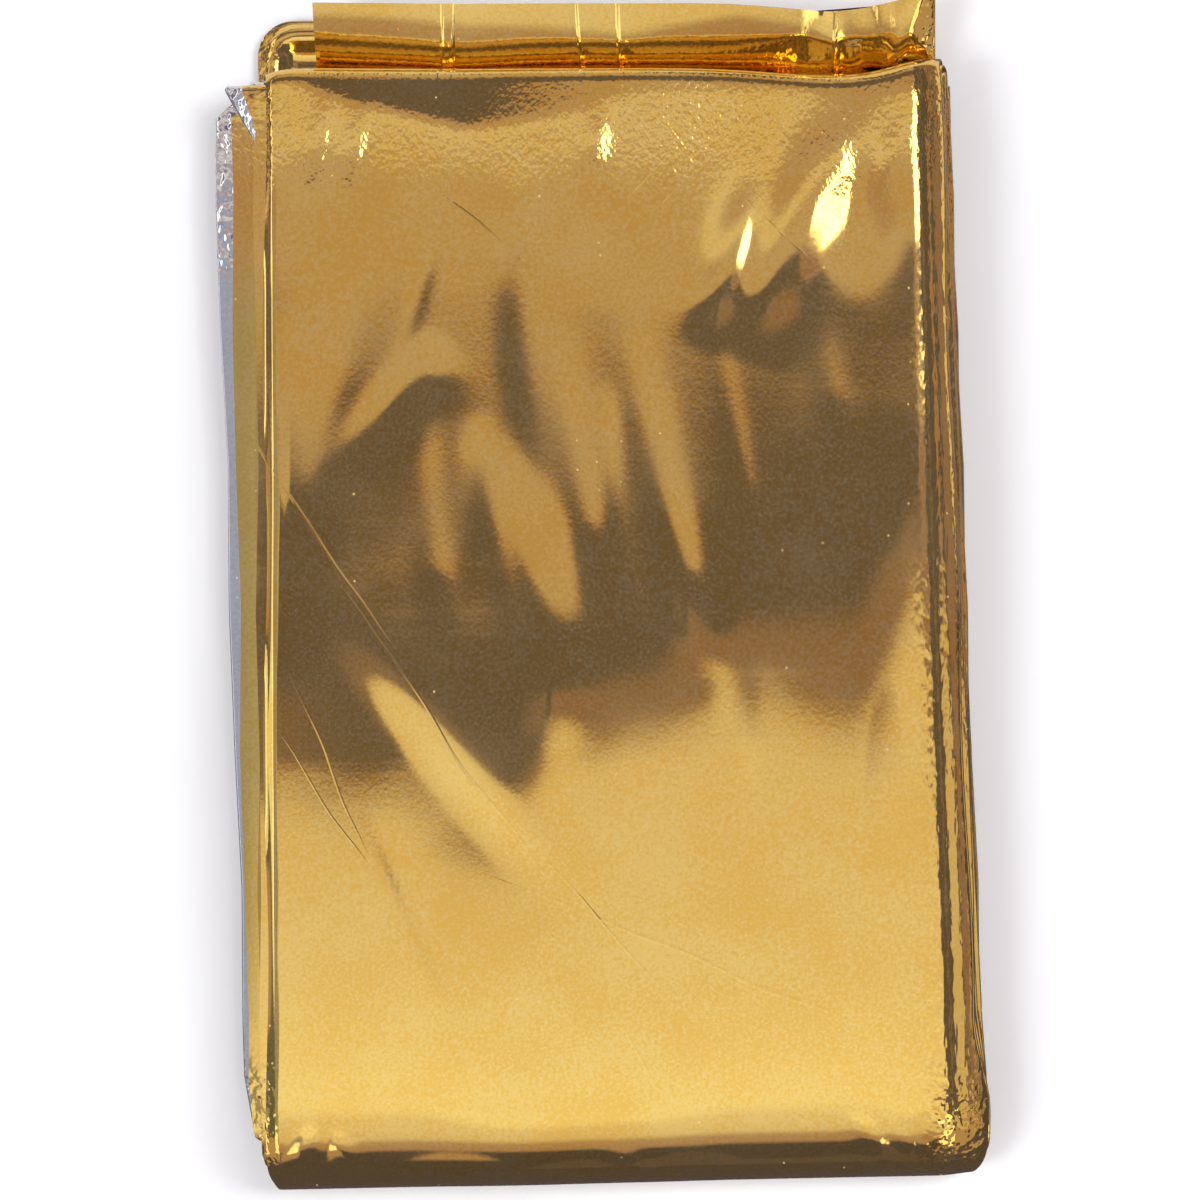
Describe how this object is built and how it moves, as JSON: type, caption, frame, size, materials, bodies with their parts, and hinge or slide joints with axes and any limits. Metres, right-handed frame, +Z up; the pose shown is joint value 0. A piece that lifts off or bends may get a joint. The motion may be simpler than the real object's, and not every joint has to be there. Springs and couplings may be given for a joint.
{
  "type": "emergency foil blanket",
  "caption": "Emergency foil blanket of thin gold and silver film, folded to a flat pocket-sized packet with its turns at one end and its free edges at the other.",
  "frame": {"origin": "middle of the packet's flat underside, the face that it lies on", "axes": "+Z up through the packet's thickness, +Y along the packet from the fold end to the open end with the flap, +X across it"},
  "size_m": [0.091, 0.1386, 0.012],
  "materials": {
    "gold_film": "mirror-bright gold lacquer over vacuum-deposited aluminium on clear polyester film, bare silver aluminium on the other side"
  },
  "bodies": {
    "root": {"foil_sheet": "gold_film"}
  },
  "joints": []
}
